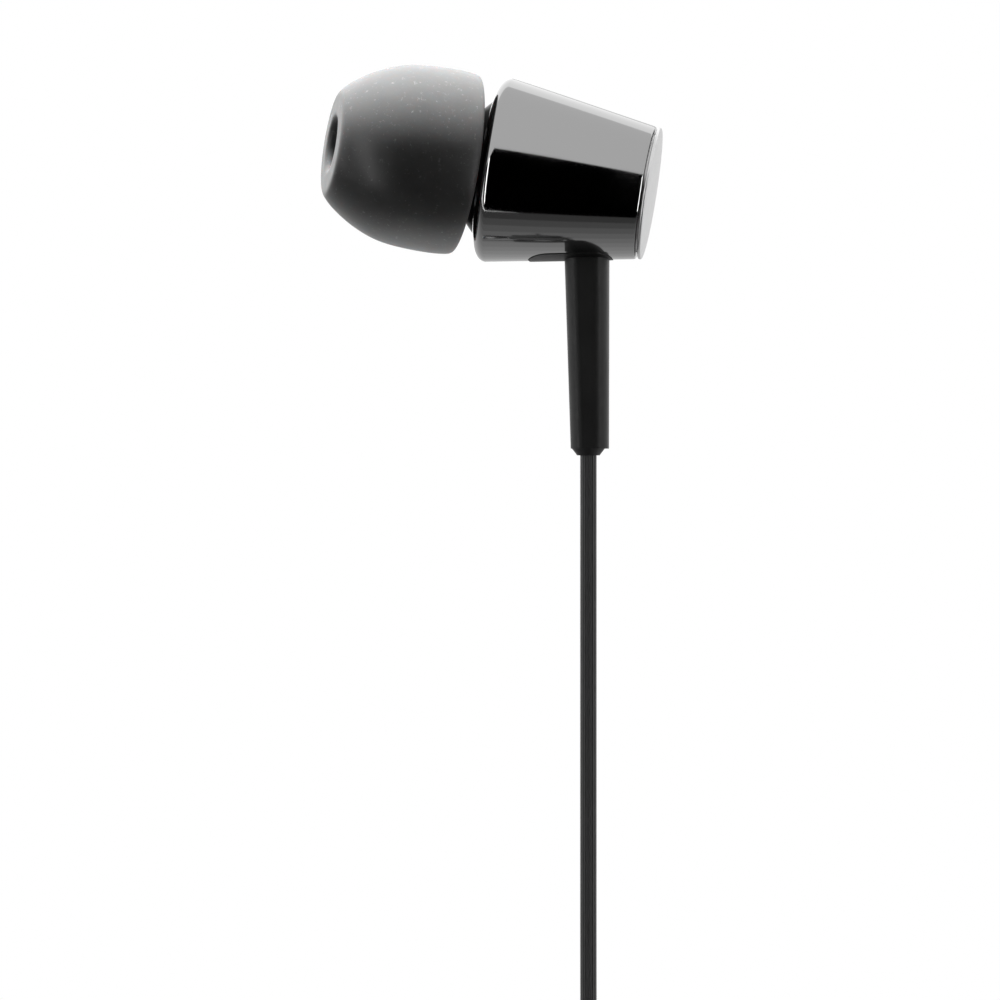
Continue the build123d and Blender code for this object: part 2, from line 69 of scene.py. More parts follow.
def nozzle_place(hand):
    """The nozzle's frame in the earpiece's frame, in millimetres."""
    return Matrix.Translation((ELBOW_X, 0, 0)) @ Matrix.Rotation(hand * NOZZLE_BEND, 4, "Z")


tilted = Matrix.Rotation(WORN_TILT, 4, "Y")
left_middle = tilted @ nozzle_place(1) @ Vector((-TIP_MIDDLE, 0, 0))
left_place = Matrix.Translation(-left_middle) @ tilted

# The right earpiece hangs upside down. A tip's box has its middle a little off the tip's own, by the same
# amount on both sides.
flipped = Matrix.Rotation(pi, 4, "X") @ tilted
right_low, right_high = [Vector(corner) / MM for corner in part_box("right_ear_tip")]
left_low, left_high = [Vector(corner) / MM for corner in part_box("left_ear_tip")]
right_middle = flipped @ nozzle_place(-1) @ Vector((-TIP_MIDDLE, 0, 0))
box_offset = (left_low + left_high) / 2
right_shift = (right_low + right_high) / 2 - Vector((box_offset.x, box_offset.y, -box_offset.z))
right_place = Matrix.Translation(right_shift - right_middle) @ flipped
SIDES = (("left", 1, left_place), ("right", -1, right_place))


def turned(outline, steps, closed=True):
    """A mesh turned about X from (x, radius) corners in millimetres. An open outline ends on the axis."""
    work = bmesh.new()
    corners = [work.verts.new((x, 0, r)) for x, r in outline]
    for first, second in zip(corners, corners[1:] + corners[:1] * closed):
        work.edges.new((first, second))
    bmesh.ops.spin(work, geom=work.verts[:] + work.edges[:], axis=(1, 0, 0), cent=(0, 0, 0), angle=2 * pi,
                   steps=steps, use_merge=True)
    bmesh.ops.remove_doubles(work, verts=work.verts, dist=1e-4)
    bmesh.ops.recalc_face_normals(work, faces=work.faces)
    return work


def piece(name, work, place, material, body, slot, *nodes):
    """Makes an object from a mesh in millimetres, puts it in its place, attaches it to its body and hides the
    CAD nodes that it takes the place of.
    """
    bmesh.ops.transform(work, matrix=Matrix.Scale(MM, 4) @ place, verts=work.verts)
    mesh = bpy.data.meshes.new(name)
    work.to_mesh(mesh)
    work.free()
    mesh.materials.append(material)
    mesh.shade_smooth()
    made = bpy.data.objects.new(name, mesh)
    bpy.context.scene.collection.objects.link(made)
    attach(made, body)
    if nodes:
        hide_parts(*nodes)
    return made


def linear(colour):
    """An sRGB hex colour as linear red, green, blue and alpha."""
    channels = [int(colour[at:at + 2], 16) / 255 for at in (1, 3, 5)]
    return [c / 12.92 if c <= 0.04045 else ((c + 0.055) / 1.055) ** 2.4 for c in channels] + [1.0]


def add_node(tree, kind, values=None, links=None, **settings):
    """Adds a node with its settings and its sockets' values, and links its inputs."""
    node = tree.nodes.new(kind)
    for name, value in settings.items():
        setattr(node, name, value)
    for name, value in (values or {}).items():
        node.inputs[name].default_value = value
    for name, source in (links or {}).items():
        tree.links.new(source, node.inputs[name])
    return node


def new_material(name, **values):
    """A material with a Principled shader, and its sockets' values, with _ for a space in a name."""
    made = bpy.data.materials.new(name)
    made.use_nodes = True
    shader = made.node_tree.nodes["Principled BSDF"]
    for socket, value in values.items():
        shader.inputs[socket.replace("_", " ")].default_value = value
    return made, made.node_tree, shader


# Moulded silicone: a soft broad sheen, a little light through thin walls, and pale specks of the dust that it
# attracts. A noise's scale is its patches to the millimetre, divided by MM.
silicone, tree, shader = new_material("moulded_silicone", IOR=1.41, Subsurface_Weight=0.15,
                                      Subsurface_Scale=0.8 * MM, Coat_Weight=0.25, Coat_Roughness=0.28)
spot = add_node(tree, "ShaderNodeTexCoord")
bloom = add_node(tree, "ShaderNodeTexNoise", {"Scale": 0.9 / MM, "Detail": 4.0, "Roughness": 0.65},
                 {"Vector": spot.outputs["Object"]})
tint = add_node(tree, "ShaderNodeMix", {"A": linear("#4C4C4C"), "B": linear("#565656")},
                {"Factor": bloom.outputs["Fac"]}, data_type="RGBA")
dust = add_node(tree, "ShaderNodeTexNoise", {"Scale": 3.8 / MM, "Detail": 5.0, "Roughness": 0.7},
                {"Vector": spot.outputs["Object"]})
specks = add_node(tree, "ShaderNodeMapRange", {"From Min": 0.6, "From Max": 0.7, "To Max": 0.35},
                  {"Value": dust.outputs["Fac"]})
dusty = add_node(tree, "ShaderNodeMix", {"B": linear("#A6A6A6")},
                 {"Factor": specks.outputs["Result"], "A": tint.outputs["Result"]}, data_type="RGBA")
tree.links.new(dusty.outputs["Result"], shader.inputs["Base Color"])
sheen = add_node(tree, "ShaderNodeMapRange",
                 {"From Min": 0.3, "From Max": 0.7, "To Min": 0.36, "To Max": 0.46},
                 {"Value": bloom.outputs["Fac"]})
tree.links.new(sheen.outputs["Result"], shader.inputs["Roughness"])
grain = add_node(tree, "ShaderNodeTexNoise", {"Scale": 6 / MM, "Detail": 2.0},
                 {"Vector": spot.outputs["Object"]})
bump = add_node(tree, "ShaderNodeBump", {"Strength": 0.12, "Distance": 0.02 * MM},
                {"Height": grain.outputs["Fac"]})
tree.links.new(bump.outputs["Normal"], shader.inputs["Normal"])

TIP_FACE = -11.02             # from the elbow, along the nozzle
# The distance behind the face and the radius, from the port's mouth over the lip, round the dome to the rim,
# then back up inside and down the sleeve.
TIP_OUTLINE = [
    (0.5, 1.65), (0.16, 1.75), (0.02, 1.95), (0.0, 2.2), (0.03, 2.9), (0.03, 3.3), (0.12, 3.55), (0.3, 3.78),
    (0.65, 4.13), (1.13, 4.49), (1.7, 4.88), (2.33, 5.24), (3.1, 5.6), (3.9, 5.88), (4.7, 6.05), (5.7, 6.15),
    (6.9, 6.2), (7.9, 6.19), (8.6, 6.13), (8.98, 6.06), (9.12, 5.96), (9.14, 5.83), (9.1, 5.7), (8.9, 5.64),
    (7.9, 5.72), (6.6, 5.74), (5.4, 5.68), (4.3, 5.4), (3.3, 4.9), (2.5, 4.25), (2.1, 3.65), (2.2, 3.25),
    (2.7, 3.12), (5.0, 3.12), (8.1, 3.12), (8.36, 3.02), (8.4, 2.78), (8.36, 2.5), (8.1, 2.43), (6.0, 2.42),
    (4.2, 2.42), (4.0, 2.35), (3.97, 1.9), (3.8, 1.68), (2.5, 1.65),
]
for side, hand, place in SIDES:
    work = turned([(TIP_FACE + x, r) for x, r in TIP_OUTLINE], steps=64)
    tip = piece(f"{side}_silicone_tip", work, place @ nozzle_place(hand), silicone, f"{side}_tip",
                "tip_silicone", f"{side}_ear_tip")
    smooth = tip.modifiers.new("round", "SUBSURF")
    smooth.levels = smooth.render_levels = 2

# ---- Metal sleeves ----
# Drawn and polished metal with dark chrome plating: a cone with a rounded front shoulder, slotted underneath
# for the strain relief. It is pressed over the two black inner housings.

SLEEVE_FRONT_R = 6.2
SLEEVE_REAR_R = 4.46
SLEEVE_LENGTH = 9.92
SLEEVE_WALL = 0.457
SHOULDER_DEPTH = 0.95
MOUTH_R = 4.76
SLOT_FRONT, SLOT_REAR = 1.98, 7.6             # level, and behind the widest section
SLOT_LOW, SLOT_HIGH = -7.5, -2.0
SLOT_HALF_WIDTH = 2.15
SLOT_CORNER = 1.35

# Dark chrome: a mirror of a neutral grey, with the faintest patchy haze left by polishing.
dark_chrome, tree, shader = new_material("polished_dark_chrome", Base_Color=linear("#AAAAAA"), Metallic=1.0)
spot = add_node(tree, "ShaderNodeTexCoord")
haze = add_node(tree, "ShaderNodeTexNoise", {"Scale": 0.26 / MM, "Detail": 5.0, "Roughness": 0.6},
                {"Vector": spot.outputs["Object"]})
haze_range = add_node(tree, "ShaderNodeMapRange",
                      {"From Min": 0.35, "From Max": 0.75, "To Min": 0.06, "To Max": 0.11},
                      {"Value": haze.outputs["Fac"]})
tree.links.new(haze_range.outputs["Result"], shader.inputs["Roughness"])


def rounded_prism(x_low, x_high, half_depth, corner, z_low, z_high):
    """An upright block with rounded corners, in millimetres."""
    work = bmesh.new()
    bmesh.ops.create_cube(work, size=1)
    bmesh.ops.scale(work, vec=(x_high - x_low, 2 * half_depth, z_high - z_low), verts=work.verts)
    bmesh.ops.translate(work, vec=((x_low + x_high) / 2, 0, (z_low + z_high) / 2), verts=work.verts)
    posts = [e for e in work.edges if abs(e.verts[0].co.z - e.verts[1].co.z) > 0.5 * (z_high - z_low)]
    bmesh.ops.bevel(work, geom=posts, offset=corner, segments=10, profile=0.5, affect="EDGES", material=-1)
    return work


def cut_away(target, cutter):
    """Cuts the cutter's shape out of the target for good, and removes the cutter."""
    cut = target.modifiers.new("cut", "BOOLEAN")
    cut.operation, cut.solver, cut.object = "DIFFERENCE", "EXACT", cutter
    bpy.context.view_layer.update()
    with_cut = bpy.data.meshes.new_from_object(target.evaluated_get(bpy.context.evaluated_depsgraph_get()))
    target.modifiers.clear()
    target.data = with_cut
    bpy.data.objects.remove(cutter)


shoulder_rise = SLEEVE_FRONT_R - MOUTH_R
shoulder = [(-SHOULDER_DEPTH * cos(radians(a)), MOUTH_R + shoulder_rise * sin(radians(a)))
            for a in range(0, 90, 10)]
# Round the shoulder, down the cone, over the rear edge and back up inside.
SLEEVE_OUTLINE = [
    *shoulder, (0.0, SLEEVE_FRONT_R), (SLEEVE_LENGTH - 0.12, SLEEVE_REAR_R + 0.021),
    (SLEEVE_LENGTH - 0.03, SLEEVE_REAR_R - 0.03), (SLEEVE_LENGTH, SLEEVE_REAR_R - 0.12),
    (SLEEVE_LENGTH, SLEEVE_REAR_R - SLEEVE_WALL), (0.0, SLEEVE_FRONT_R - SLEEVE_WALL), (-0.48, 5.26),
    (-SHOULDER_DEPTH, MOUTH_R - 0.1),
]
for side, hand, place in SIDES:
    sleeve = piece(f"{side}_metal_sleeve", turned(SLEEVE_OUTLINE, steps=192), place, dark_chrome, "root",
                   "dark_chrome", f"{side}_metal_shell")
    slot_block = rounded_prism(SLOT_FRONT, SLOT_REAR, SLOT_HALF_WIDTH, SLOT_CORNER, SLOT_LOW, SLOT_HIGH)
    slot = piece(f"{side}_slot", slot_block, place @ Matrix.Rotation(-WORN_TILT, 4, "Y"), dark_chrome,
                 "root", "dark_chrome")
    cut_away(sleeve, slot)
    sleeve.data.set_sharp_from_angle(angle=radians(28))

# ---- Rear caps ----
# Turned aluminium, blasted and silver anodised: a shallow dome over a short spigot pressed into the sleeve.
# Its front edge stands a hair off the sleeve, which leaves the dark seam.

# Silver anodising: a soft satin metal whose fine blasted grain breaks up its highlights.
silver, tree, shader = new_material("silver_anodised_aluminium", Metallic=1.0)
spot = add_node(tree, "ShaderNodeTexCoord")
blast = add_node(tree, "ShaderNodeTexNoise", {"Scale": 3.5 / MM, "Detail": 3.0},
                 {"Vector": spot.outputs["Object"]})
cloud = add_node(tree, "ShaderNodeTexNoise", {"Scale": 0.7 / MM, "Detail": 3.0},
                 {"Vector": spot.outputs["Object"]})
tint = add_node(tree, "ShaderNodeMix", {"A": linear("#D2D2D2"), "B": linear("#E6E6E6")},
                {"Factor": cloud.outputs["Fac"]}, data_type="RGBA")
tree.links.new(tint.outputs["Result"], shader.inputs["Base Color"])
satin = add_node(tree, "ShaderNodeMapRange", {"To Min": 0.26, "To Max": 0.4},
                 {"Value": cloud.outputs["Fac"]})
tree.links.new(satin.outputs["Result"], shader.inputs["Roughness"])
bump = add_node(tree, "ShaderNodeBump", {"Strength": 0.25, "Distance": 0.02 * MM},
                {"Height": blast.outputs["Fac"]})
tree.links.new(bump.outputs["Normal"], shader.inputs["Normal"])

CAP_SEAT = 10.05
CAP_R = 4.43
CAP_EDGE = 0.24
CAP_RISE = 0.18
SPIGOT_END = 9.47
SPIGOT_R = 3.95
EASED_R = CAP_R - 0.1         # where the rounding of the rim's two corners ends
dome = [(CAP_SEAT + CAP_EDGE + CAP_RISE * (1 - (r / CAP_R) ** 2), r) for r in (4.2, 3.6, 2.7, 1.8, 0.9, 0)]
CAP_OUTLINE = [
    (SPIGOT_END, 0), (SPIGOT_END, SPIGOT_R), (CAP_SEAT, SPIGOT_R), (CAP_SEAT, EASED_R),
    (CAP_SEAT + 0.03, 4.4), (CAP_SEAT + 0.1, CAP_R), (CAP_SEAT + 0.15, CAP_R), (CAP_SEAT + 0.21, 4.4),
    (CAP_SEAT + CAP_EDGE, EASED_R), *dome,
]
for side, hand, place in SIDES:
    cap = piece(f"{side}_end_cap", turned(CAP_OUTLINE, steps=128, closed=False), place, silver, "root",
                "silver_cap", f"{side}_rear_cap")
    cap.data.set_sharp_from_angle(angle=radians(50))

# ---- Black mouldings ----
# The front and rear housings are injection-moulded ABS with a fine spark-eroded texture from the tool, and so
# is the driver's basket. Only the ring in the sleeve's mouth and the nozzle show.


def moulded_black(name, colour, roughness, grain_mm, depth_mm):
    """Black plastic or elastomer with a moulded grain of the given size."""
    made, tree, shader = new_material(name, IOR=1.5)
    spot = add_node(tree, "ShaderNodeTexCoord")
    grain = add_node(tree, "ShaderNodeTexNoise",
                     {"Scale": 1 / (grain_mm * MM), "Detail": 3.0, "Roughness": 0.6},
                     {"Vector": spot.outputs["Object"]})
    patch = add_node(tree, "ShaderNodeTexNoise", {"Scale": 0.32 / MM, "Detail": 2.0},
                     {"Vector": spot.outputs["Object"]})
    light = [min(1, c * 1.5) for c in linear(colour)[:3]] + [1.0]
    tint = add_node(tree, "ShaderNodeMix", {"A": linear(colour), "B": light},
                    {"Factor": patch.outputs["Fac"]}, data_type="RGBA")
    spread = 0.06
    wear = add_node(tree, "ShaderNodeMapRange", {"To Min": roughness - spread, "To Max": roughness + spread},
                    {"Value": patch.outputs["Fac"]})
    bump = add_node(tree, "ShaderNodeBump", {"Strength": 0.3, "Distance": depth_mm * MM},
                    {"Height": grain.outputs["Fac"]})
    tree.links.new(tint.outputs["Result"], shader.inputs["Base Color"])
    tree.links.new(wear.outputs["Result"], shader.inputs["Roughness"])
    tree.links.new(bump.outputs["Normal"], shader.inputs["Normal"])
    return made


def dress(node, material):
    """Gives a CAD node its finish."""
    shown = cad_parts[node]
    shown.data.materials.clear()
    shown.data.materials.append(material)


black_abs = moulded_black("moulded_black_abs", "#0E0E0E", roughness=0.38, grain_mm=0.12, depth_mm=0.006)
for side, hand, place in SIDES:
    for moulding in ("front_housing", "rear_housing", "driver_basket"):
        dress(f"{side}_{moulding}", black_abs)

# ---- Strain reliefs ----
# Black thermoplastic elastomer, moulded over the lead: a saddle that fills the sleeve's slot and a flat
# tapered strip whose front face leans, down to a small chamfered end where the lead leaves.

# Satin elastomer: deep black with a soft even sheen and a fine moulded grain.
elastomer = moulded_black("satin_black_elastomer", "#121212", roughness=0.46, grain_mm=0.1, depth_mm=0.005)
for side, hand, place in SIDES:
    dress(f"{side}_strain_relief", elastomer)

# ---- Leads, trunk cord and hank ----
# Round cords of copper tinsel in a black thermoplastic jacket, finely ribbed lengthwise so that they don't
# tangle. The spare length is folded for storage in a pinched hank: the trunk's turns in two layers, and a
# lead's turns on each side of them.

LEAD_R = 0.55
TRUNK_R = 0.85
LOOP_Z = 14.5                 # from the hank's middle to each loop's middle
STATION_ANGLE = 30            # between the route's points round a loop
LEAD_LOOP_R = 6.5
LEAD_WAIST = 1.5
LEAD_SIDE = 3.95              # from the hank's middle to a lead's first layer
LEAD_STEP = 1.1               # from a lead's layer to the next
LEAD_TURNS = 3.2
TRUNK_TURNS = 5.7
TRUNK_STEP = 1.7              # from a trunk turn to the next, and from the inner layer to the outer
TRUNK_LOOP_R = 5.5
TRUNK_WAIST = 1.0
TRUNK_FRONT = 2.55            # the first turn, from the hank's middle
hank_low, hank_high = [Vector(corner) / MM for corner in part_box("cord_hank")]
HANK = (hank_low + hank_high) / 2

# Cord jacket: satin black with small uneven patches, and fine ribs that catch the light as lines along it.
jacket, tree, shader = new_material("ribbed_black_jacket", IOR=1.5, Coat_Weight=0.15, Coat_Roughness=0.3)
spot = add_node(tree, "ShaderNodeTexCoord")
patch = add_node(tree, "ShaderNodeTexNoise", {"Scale": 0.45 / MM, "Detail": 3.0},
                 {"Vector": spot.outputs["Object"]})
tint = add_node(tree, "ShaderNodeMix", {"A": linear("#1B1B1B"), "B": linear("#262626")},
                {"Factor": patch.outputs["Fac"]}, data_type="RGBA")
tree.links.new(tint.outputs["Result"], shader.inputs["Base Color"])
wear = add_node(tree, "ShaderNodeMapRange", {"To Min": 0.36, "To Max": 0.5}, {"Value": patch.outputs["Fac"]})
tree.links.new(wear.outputs["Result"], shader.inputs["Roughness"])
grain = add_node(tree, "ShaderNodeTexNoise", {"Scale": 5 / MM, "Detail": 2.0},
                 {"Vector": spot.outputs["Object"]})
bump = add_node(tree, "ShaderNodeBump", {"Strength": 0.2, "Distance": 0.02 * MM},
                {"Height": grain.outputs["Fac"]})
# The UV map's V goes once round the cord, so a wave along V makes ribs that run lengthwise.
RIB_COUNT = 18
cord_place = add_node(tree, "ShaderNodeSeparateXYZ", {}, {"Vector": spot.outputs["UV"]})
rib_angle = add_node(tree, "ShaderNodeMath", {1: 2 * pi * RIB_COUNT}, {0: cord_place.outputs["Y"]},
                     operation="MULTIPLY")
rib = add_node(tree, "ShaderNodeMath", {}, {0: rib_angle.outputs["Value"]}, operation="SINE")
ribbing = add_node(tree, "ShaderNodeBump", {"Strength": 0.8, "Distance": 0.03 * MM},
                   {"Height": rib.outputs["Value"], "Normal": bump.outputs["Normal"]})
tree.links.new(ribbing.outputs["Normal"], shader.inputs["Normal"])


def wound(turn_count, radius_at, waist_at, y_at, flip_x=1, flip_z=1):
    """Points of pinched turns about the hank's middle, from beside the top loop, on the right, going down.

    Round a loop the points stand outside the line that the cord takes, and an angle of None is at the waist.
    """
    top = [(a, 1) for a in (0, -25)]
    bottom = [(a, -1) for a in (25, 0, -30, -60, -90, -120, -150, -180, -205)]
    over = [(a, 1) for a in (205, 180, 150, 120, 90, 60, 30)]
    stations = [*top, (None, 1), *bottom, (None, -1), *over]
    points = []
    for step in range(int(round(turn_count * len(stations))) + 1):
        turn = step / len(stations)
        angle, end = stations[step % len(stations)]
        if angle is None:
            x, z = end * waist_at(turn), 0
        else:
            reach = radius_at(turn) / cos(radians(STATION_ANGLE / 2))
            x, z = reach * cos(radians(angle)), end * LOOP_Z + reach * sin(radians(angle))
        points.append((flip_x * x, y_at(turn), flip_z * z))
    return points


def cord(name, points, radius, *nodes):
    """A round cord as one smooth curve through control points about the hank's middle, in millimetres."""
    curve = bpy.data.curves.new(name, "CURVE")
    curve.dimensions = "3D"
    curve.bevel_depth = radius * MM
    curve.bevel_resolution = 5
    curve.resolution_u = 8
    curve.use_fill_caps = True
    line = curve.splines.new("NURBS")
    line.points.add(len(points) - 1)
    for control, point in zip(line.points, points):
        control.co = (*((HANK + Vector(point)) * MM), 1.0)
    line.order_u = 3
    line.use_endpoint_u = True
    curve.materials.append(jacket)
    made = bpy.data.objects.new(name, curve)
    bpy.context.scene.collection.objects.link(made)
    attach(made, "root")
    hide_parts(*nodes)
    return made


def lead_y(turn):
    """How far out a lead's turns are: each of its first three steps out, and the last stays."""
    return LEAD_SIDE + LEAD_STEP * min(turn, 3)


# From the hank down through the slider into the splitter.
TAIL = [(6.5, -7.25, -16), (6.5, -7.25, -19.5), (4.9, -5.5, -24.5), (2, -2, -29.5), (0.7, 0, -35.5),
        (0.7, 0, -39), (0.7, 0, -52.5)]
left_exit_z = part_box("left_strain_relief")[0][2] / MM - HANK.z
left_run = [(LEAD_LOOP_R, -LEAD_SIDE, z) for z in (left_exit_z + 4, left_exit_z - 20, 22)]
left_turns = wound(LEAD_TURNS, lambda t: LEAD_LOOP_R, lambda t: LEAD_WAIST, lambda t: -lead_y(t))
left_lead = cord("left_lead_cord", [*left_run, *left_turns, *TAIL], LEAD_R, "left_lead", "left_lead_tail")

# Up out of the right strain relief, over an arch and down into the hank.
RIGHT_EXIT = (-16.5, -17)     # level and height
HANGER = [(x, LEAD_SIDE, z) for x, z in (
    (-16.5, -21), RIGHT_EXIT, (-16.5, -8), (-16.7, 2), (-17, 11), (-16.5, 19.1), (-13.6, 22), (-9.4, 22),
    (-6.5, 19.1),
)]
right_turns = wound(LEAD_TURNS, lambda t: LEAD_LOOP_R, lambda t: LEAD_WAIST, lead_y, flip_x=-1)
right_points = [*HANGER, *right_turns, *[(-x, -y, z) for x, y, z in TAIL]]
right_lead = cord("right_lead_cord", right_points, LEAD_R, "right_lead", "right_lead_end", "right_lead_tail")


def trunk_y(turn):
    """The inner layer steps back for three turns. The outer waits half a turn and comes forward for two."""
    return TRUNK_FRONT - TRUNK_STEP * min(turn, 3) + TRUNK_STEP * min(2, max(0, turn - 3.5))


def layer_out(turn):
    """How far a turn stands outside the inner layer. The second layer starts near the third turn."""
    return TRUNK_STEP * min(1, max(0, (turn - 2.9) / 0.3))


def trunk_radius(turn):
    """The radius of the loops."""
    return TRUNK_LOOP_R + layer_out(turn)


def trunk_waist(turn):
    """How far from the middle the turns pass through the tie."""
    return TRUNK_WAIST + layer_out(turn)


# Down out of the splitter, round a bend and up into the hank, and later from the hank down to the plug.
UNDER_SPLITTER = [(0, 0, -59.5), (0, 0, -66), (0, 0.1, -71.5), (3.6, 0.5, -75.1), (8.7, 0.9, -75.1),
                  (12.3, 1.3, -71.5), (12.6, 1.9, -62.5), (11.9, 2.3, -51), (10, 2.5, -38.5),
                  (7.6, 2.6, -27)]
TO_PLUG = [(-7.2, 0.85, -16), (-7.3, 0.85, -21), (-8, 0.7, -28), (-9.3, 0.4, -35), (-10.2, 0, -41),
           (-10.2, 0, -46), (-10.2, 0, -48.5)]
trunk_turns = wound(TRUNK_TURNS, trunk_radius, trunk_waist, trunk_y, flip_z=-1)
trunk = cord("trunk_cord_round", [*UNDER_SPLITTER, *trunk_turns, *TO_PLUG], TRUNK_R, "trunk_cord",
             "plug_lead", "cord_hank")

# ---- Tie, slider, splitter and plug ----
# A soft moulded tie strap holds the hank. The bead that gathers the leads is glossy ABS, the Y splitter and
# the plug's grip are moulded over the cords in elastomer, and the plug's contacts are gold-plated brass.

# Glossy ABS from a polished tool: deep black, with a long soft waviness in place of a grain.
gloss_black = moulded_black("gloss_black_abs", "#0C0C0C", roughness=0.16, grain_mm=0.5, depth_mm=0.001)
dress("cord_slider", gloss_black)
for node in ("hank_tie", "y_splitter", "plug_grip"):
    dress(node, elastomer)
for node in ("plug_insulator_rear", "plug_insulator_front"):
    dress(node, black_abs)

# Gold plating: a warm polished metal with fine turning lines round each contact.
gold, tree, shader = new_material("gold_plated_brass", Metallic=1.0, Base_Color=linear("#E3BE73"))
spot = add_node(tree, "ShaderNodeTexCoord")
lines = add_node(tree, "ShaderNodeTexWave", {"Scale": 0.9 / MM, "Distortion": 1.5, "Detail": 2.0},
                 {"Vector": spot.outputs["Object"]}, bands_direction="Z")
worn = add_node(tree, "ShaderNodeMapRange", {"To Min": 0.14, "To Max": 0.26},
                {"Value": lines.outputs["Fac"]})
bump = add_node(tree, "ShaderNodeBump", {"Strength": 0.15, "Distance": 0.01 * MM},
                {"Height": lines.outputs["Fac"]})
tree.links.new(worn.outputs["Result"], shader.inputs["Roughness"])
tree.links.new(bump.outputs["Normal"], shader.inputs["Normal"])
for contact in ("plug_sleeve", "plug_ring", "plug_tip"):
    dress(contact, gold)

# ---- Pieces inside the housings ----
# The driver's own parts, the nozzle's screen and damper, the wires and the knot. The screen shows through
# the tip's port. The others are shut in, and each has its metal's or plastic's colour with fine flecks.

# The finish's name, colour, roughness and metallic, for the pieces that both sides have.
INNER = {
    "nozzle_mesh": ("woven_steel", "#8C8C8C", 0.35, 1.0),
    "nozzle_damper": ("grey_foam", "#3A3A3A", 0.9, 0.0),
    "driver_cover": ("plated_steel", "#B4B4B0", 0.3, 1.0),
    "diaphragm_ring": ("brass_ring", "#C9A65A", 0.3, 1.0),
    "diaphragm": ("clear_film", "#B8B09A", 0.2, 0.0),
    "voice_coil": ("enamelled_copper", "#B4622E", 0.3, 1.0),
    "top_plate": ("soft_iron", "#9A9A98", 0.35, 1.0),
    "magnet": ("nickel_plating", "#C4C2BC", 0.2, 1.0),
    "yoke": ("zinc_plating", "#A8AAAC", 0.3, 1.0),
    "vent_felt": ("pressed_felt", "#D8D8D2", 0.95, 0.0),
    "terminal_board": ("green_board", "#1E5A34", 0.45, 0.0),
    "solder_joints": ("solder", "#B8B8B8", 0.25, 1.0),
    "lead_wires": ("enamelled_wire", "#A83A22", 0.35, 0.0),
    "cable_knot": ("knotted_jacket", "#202020", 0.45, 0.0),
}
for node, (name, colour, roughness, metallic) in INNER.items():
    finish, tree, shader = new_material(name, Metallic=metallic)
    spot = add_node(tree, "ShaderNodeTexCoord")
    fleck = add_node(tree, "ShaderNodeTexNoise", {"Scale": 2.5 / MM, "Detail": 3.0},
                     {"Vector": spot.outputs["Object"]})
    darker = [c * 0.8 for c in linear(colour)[:3]] + [1.0]
    tint = add_node(tree, "ShaderNodeMix", {"A": darker, "B": linear(colour)},
                    {"Factor": fleck.outputs["Fac"]}, data_type="RGBA")
    rough = add_node(tree, "ShaderNodeMapRange",
                     {"To Min": roughness * 0.8, "To Max": min(1, roughness * 1.2)},
                     {"Value": fleck.outputs["Fac"]})
    tree.links.new(tint.outputs["Result"], shader.inputs["Base Color"])
    tree.links.new(rough.outputs["Result"], shader.inputs["Roughness"])
    for side, hand, place in SIDES:
        dress(f"{side}_{node}", finish)

# ---- Studio ----
# A pale floor just below the hanging cord, a white room, a broad light overhead and a weak one low behind.
# Cards that only reflections show stand round the object: dark in front, grey above, behind and at the side,
# a narrow bright strip on each side of the front, and a row of them underneath that goes from dark to pale.


def glow(name, colour, strength):
    """A plain light-giving material for the room's cards."""
    made = bpy.data.materials.new(name)
    made.use_nodes = True
    tree = made.node_tree
    tree.nodes.clear()
    light = add_node(tree, "ShaderNodeEmission", {"Color": linear(colour), "Strength": strength})
    add_node(tree, "ShaderNodeOutputMaterial", None, {"Surface": light.outputs["Emission"]})
    return made


def card(name, corners, material):
    """A flat card that only reflections show, with its corners in metres."""
    work = bmesh.new()
    work.faces.new([work.verts.new(corner) for corner in corners])
    mesh = bpy.data.meshes.new(name)
    work.to_mesh(mesh)
    work.free()
    mesh.materials.append(material)
    made = bpy.data.objects.new(name, mesh)
    bpy.context.scene.collection.objects.link(made)
    made.visible_camera = made.visible_diffuse = made.visible_shadow = made.visible_transmission = False
    return made


EYE_AZIMUTH = radians(5)
LOOK_AT = Vector((6.67, 1.67, -23.05)) * MM
EYE_DISTANCE = 0.6
VIEW_WIDTH = 0.0667           # of what the camera takes in at that distance


def room_point(azimuth, height, distance):
    """A point at an azimuth from the camera's side of the object, at a height over the housing."""
    turn = EYE_AZIMUTH + radians(azimuth)
    return (LOOK_AT.x + distance * sin(turn), LOOK_AT.y - distance * cos(turn), height)


def upright_card(name, azimuths, heights, distance, material):
    """A card that faces the object, between two azimuths and two heights, whose middle is at a distance."""
    distance /= cos(radians(azimuths[1] - azimuths[0]) / 2)
    corners = [room_point(azimuths[0], heights[0], distance), room_point(azimuths[1], heights[0], distance),
               room_point(azimuths[1], heights[1], distance), room_point(azimuths[0], heights[1], distance)]
    card(name, corners, material)


black_card = glow("black_card", "#000000", 0.0)
WHITE = "#FFFFFF"
upright_card("front_card", azimuths=(-70, 70), heights=(-0.42, 0.137), distance=0.3, material=black_card)
upright_card("left_strip", azimuths=(-52, -43), heights=(-0.2, 0.08), distance=0.28,
             material=glow("left_glow", WHITE, 4.0))
upright_card("right_strip", azimuths=(40, 46), heights=(-0.2, 0.08), distance=0.28,
             material=glow("right_glow", WHITE, 5.0))
upright_card("side_card", azimuths=(62, 118), heights=(-0.3, 0.3), distance=0.25,
             material=glow("side_glow", WHITE, 0.85))
upright_card("back_card", azimuths=(122, 178), heights=(-0.12, 0.1), distance=0.25,
             material=glow("back_glow", WHITE, 0.8))

CARD_REACH = 1.5              # how far the ceiling and the cards underneath go to each side
ceiling_edges = [(-0.3, 0.137), (0.33, 0.45)]


